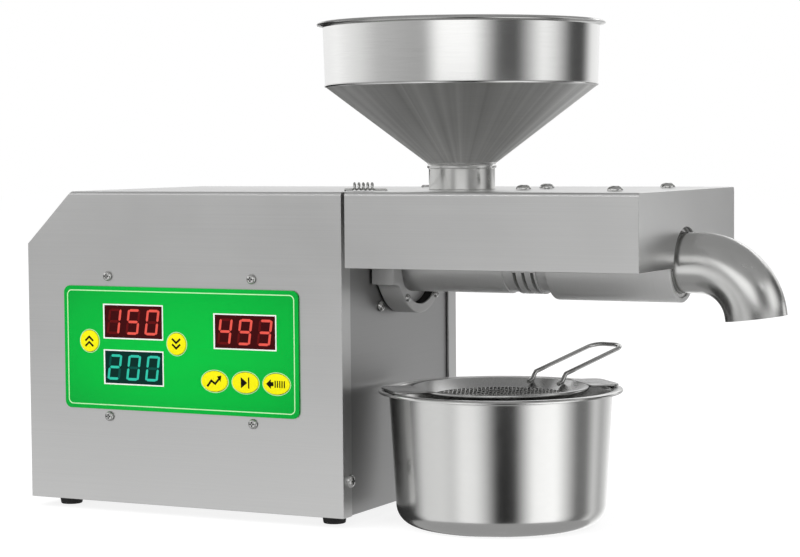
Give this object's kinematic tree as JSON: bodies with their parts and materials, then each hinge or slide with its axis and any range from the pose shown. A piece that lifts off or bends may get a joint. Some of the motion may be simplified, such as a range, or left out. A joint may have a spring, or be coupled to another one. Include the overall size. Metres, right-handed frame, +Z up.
{
  "type": "screw oil press",
  "caption": "Bench-top screw oil press: sheet steel drive casing with a control panel, level barrel under a lift-off hood, round hopper, curved outlet pipe and an oil pan with strainer.",
  "frame": {"origin": "bottom centre of the bounding box, on the table that the feet and the pan stand on", "axes": "+X from the casing towards the outlet pipe, +Y from the control panel to the back, +Z up"},
  "size_m": [0.4194, 0.1612, 0.269],
  "materials": {
    "brushed_steel": "stainless sheet, brushed along its length",
    "polished_steel": "polished stainless steel",
    "strainer_wire": "woven stainless wire cloth",
    "gear_steel": "machined steel, lightly oiled",
    "cast_metal": "cast and blasted",
    "cast_aluminium": "die cast",
    "motor_paint": "dark paint",
    "copper_and_iron": "varnished windings on an iron stack",
    "black_rubber": "moulded rubber",
    "black_plastic": "moulded",
    "green_film": "printed film on a plate",
    "yellow_key": "moulded keys under film",
    "red_display": "filtered window",
    "cyan_display": "filtered window",
    "board_green": "glass fibre board with its parts"
  },
  "bodies": {
    "casing": {"cover_shell": "brushed_steel", "left_panel": "brushed_steel", "right_end_plate": "brushed_steel", "base_tray": "brushed_steel", "foot_front_left": "black_rubber", "foot_front_right": "black_rubber", "foot_back_left": "black_rubber", "foot_back_right": "black_rubber", "control_panel": "green_film", "current_display": "red_display", "target_display": "cyan_display", "timer_display": "red_display", "controller_board": "board_green", "power_board": "board_green", "panel_screw_1": "polished_steel", "panel_screw_2": "polished_steel", "panel_screw_3": "polished_steel", "panel_screw_4": "polished_steel", "power_inlet": "black_plastic", "switch_frame": "black_plastic", "fan_frame": "black_plastic", "motor_can": "motor_paint", "motor_end_bell": "cast_aluminium", "gearbox_housing": "cast_aluminium", "gearbox_lid": "cast_aluminium", "output_bearing_rear": "polished_steel", "output_bearing_front": "polished_steel", "seat_flange": "cast_metal", "barrel": "polished_steel", "heater_band": "brushed_steel", "outlet_elbow": "polished_steel", "temperature_probe": "polished_steel"},
    "motor_armature": {"armature": "copper_and_iron"},
    "first_cluster": {"first_gear_cluster": "gear_steel"},
    "second_cluster": {"second_gear_cluster": "gear_steel"},
    "press_shaft": {"output_gear": "gear_steel", "output_shaft": "gear_steel", "press_screw": "gear_steel"},
    "cooling_fan": {"fan_rotor": "black_plastic"},
    "raise_key": {"raise_button": "yellow_key"},
    "lower_key": {"lower_button": "yellow_key"},
    "power_key": {"power_button": "yellow_key"},
    "press_key": {"press_button": "yellow_key"},
    "reverse_key": {"reverse_button": "yellow_key"},
    "mains_rocker": {"switch_rocker": "black_plastic"},
    "press_hood": {"hood": "brushed_steel", "hood_saddle_inner": "brushed_steel", "hood_saddle_outer": "brushed_steel", "hood_screw_1": "polished_steel", "hood_screw_2": "polished_steel", "hood_screw_3": "polished_steel", "hood_screw_4": "polished_steel", "hood_spring_front": "polished_steel", "hood_spring_back": "polished_steel"},
    "feed_hopper": {"hopper": "polished_steel"},
    "pan": {"oil_pan": "polished_steel"},
    "strainer": {"strainer_frame": "polished_steel", "strainer_mesh": "strainer_wire", "strainer_handle": "polished_steel"}
  },
  "joints": [
    {"name": "motor_spin", "type": "hinge", "parent": "casing", "child": "motor_armature", "pos_m": [-0.10974, 0.0016, 0.04535], "axis": [1, 0, 0], "continuous": true},
    {"name": "first_cluster_spin", "type": "hinge", "parent": "casing", "child": "first_cluster", "pos_m": [-0.04974, 0.0016, 0.07535], "axis": [1, 0, 0], "continuous": true},
    {"name": "second_cluster_spin", "type": "hinge", "parent": "casing", "child": "second_cluster", "pos_m": [-0.03974, 0.0016, 0.10535], "axis": [1, 0, 0], "continuous": true},
    {"name": "press_shaft_spin", "type": "hinge", "parent": "casing", "child": "press_shaft", "pos_m": [-0.02974, 0.0016, 0.1406], "axis": [1, 0, 0], "continuous": true},
    {"name": "fan_spin", "type": "hinge", "parent": "casing", "child": "cooling_fan", "pos_m": [-0.20074, 0.0016, 0.102], "axis": [1, 0, 0], "continuous": true},
    {"name": "raise_key_travel", "type": "slide", "parent": "casing", "child": "raise_key", "axis": [0, 1, 0], "range_m": [0, 0.0005], "stiffness_N_per_m": 400, "springref_m": -0.001},
    {"name": "lower_key_travel", "type": "slide", "parent": "casing", "child": "lower_key", "axis": [0, 1, 0], "range_m": [0, 0.0005], "stiffness_N_per_m": 400, "springref_m": -0.001},
    {"name": "power_key_travel", "type": "slide", "parent": "casing", "child": "power_key", "axis": [0, 1, 0], "range_m": [0, 0.0005], "stiffness_N_per_m": 400, "springref_m": -0.001},
    {"name": "press_key_travel", "type": "slide", "parent": "casing", "child": "press_key", "axis": [0, 1, 0], "range_m": [0, 0.0005], "stiffness_N_per_m": 400, "springref_m": -0.001},
    {"name": "reverse_key_travel", "type": "slide", "parent": "casing", "child": "reverse_key", "axis": [0, 1, 0], "range_m": [0, 0.0005], "stiffness_N_per_m": 400, "springref_m": -0.001},
    {"name": "rocker_tilt", "type": "hinge", "parent": "casing", "child": "mains_rocker", "pos_m": [-0.09974, 0.0724, 0.038], "axis": [1, 0, 0], "range_deg": [0, 16]},
    {"name": "hood_lift", "type": "slide", "parent": "casing", "child": "press_hood", "axis": [0, 0, 1], "range_m": [0, 0.06]},
    {"name": "hopper_lift", "type": "slide", "parent": "press_hood", "child": "feed_hopper", "axis": [0, 0, 1], "range_m": [0, 0.05]},
    {"name": "pan_slide", "type": "slide", "parent": "casing", "child": "pan", "axis": [0, -1, 0], "range_m": [0, 0.1]},
    {"name": "strainer_lift", "type": "slide", "parent": "pan", "child": "strainer", "axis": [0, 0, 1], "range_m": [0, 0.04]}
  ],
  "couplings": [
    {"joint": "first_cluster_spin", "follows": "motor_spin", "ratio": -0.25},
    {"joint": "second_cluster_spin", "follows": "motor_spin", "ratio": 0.083333},
    {"joint": "press_shaft_spin", "follows": "motor_spin", "ratio": -0.028571}
  ]
}
